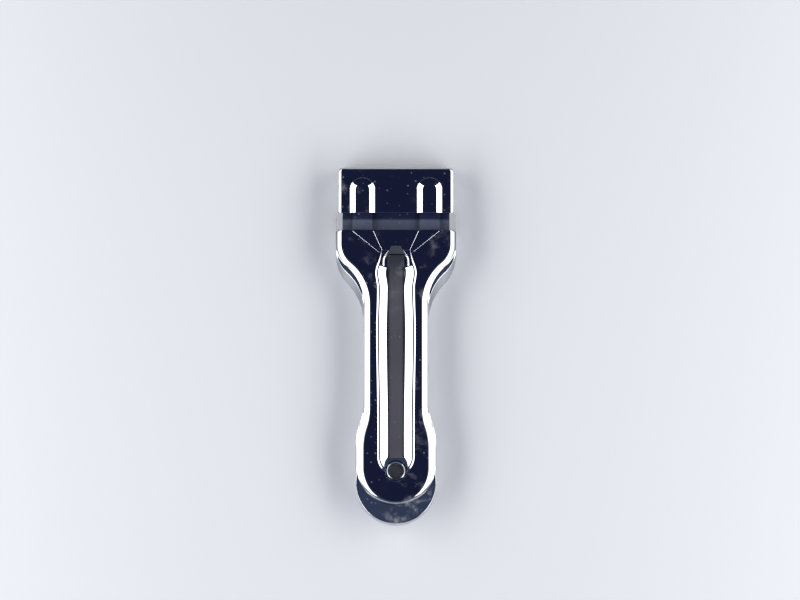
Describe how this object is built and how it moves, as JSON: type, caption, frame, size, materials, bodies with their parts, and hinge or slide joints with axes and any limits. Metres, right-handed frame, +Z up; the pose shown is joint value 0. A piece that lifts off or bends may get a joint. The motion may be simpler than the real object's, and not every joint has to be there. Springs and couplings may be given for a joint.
{
  "type": "ceramic hob scraper",
  "caption": "Bright plated hob scraper with a waisted two-shell handle, grey grip strip, hang hole and a locking blade guard that slides back to bare the blade.",
  "frame": {"origin": "on the surface that the lower shell lies on, under the middle of the tool", "axes": "+X across the blade, +Y along the tool towards the blade, +Z up out of the grip strip"},
  "size_m": [0.048, 0.1428, 0.0134],
  "materials": {
    "bright_plating": "mirror-bright plated zinc die casting",
    "core_plastic": "fine moulded grain, blue-grey",
    "strip_plastic": "fine moulded grain, dark grey",
    "blade_steel": "ground",
    "plain_steel": "rolled sheet",
    "screw_steel": "zinc plated",
    "insert_brass": "turned"
  },
  "bodies": {
    "handle": {"top_shell": "bright_plating", "bottom_shell": "bright_plating", "side_guides": "bright_plating", "core_frame": "core_plastic", "grip_strip": "strip_plastic", "hang_eyelet": "bright_plating", "blade": "blade_steel", "blade_clamp": "plain_steel", "clamp_screws": "screw_steel", "clamp_inserts": "insert_brass", "lock_spring": "plain_steel", "spring_screw": "screw_steel", "neck_screws": "screw_steel", "handle_screws": "screw_steel"},
    "guard": {"blade_guard": "bright_plating"},
    "button": {"lock_button": "strip_plastic"}
  },
  "joints": [
    {"name": "guard_slide", "type": "slide", "parent": "handle", "child": "guard", "axis": [0, -1, 0], "range_m": [0, 0.0062], "deforming": ["lock_spring"]},
    {"name": "button_press", "type": "slide", "parent": "handle", "child": "button", "axis": [0, 0, -1], "range_m": [0, 0.0005], "stiffness_N_per_m": 4000, "springref_m": -0.0003, "deforming": ["lock_spring"]}
  ]
}
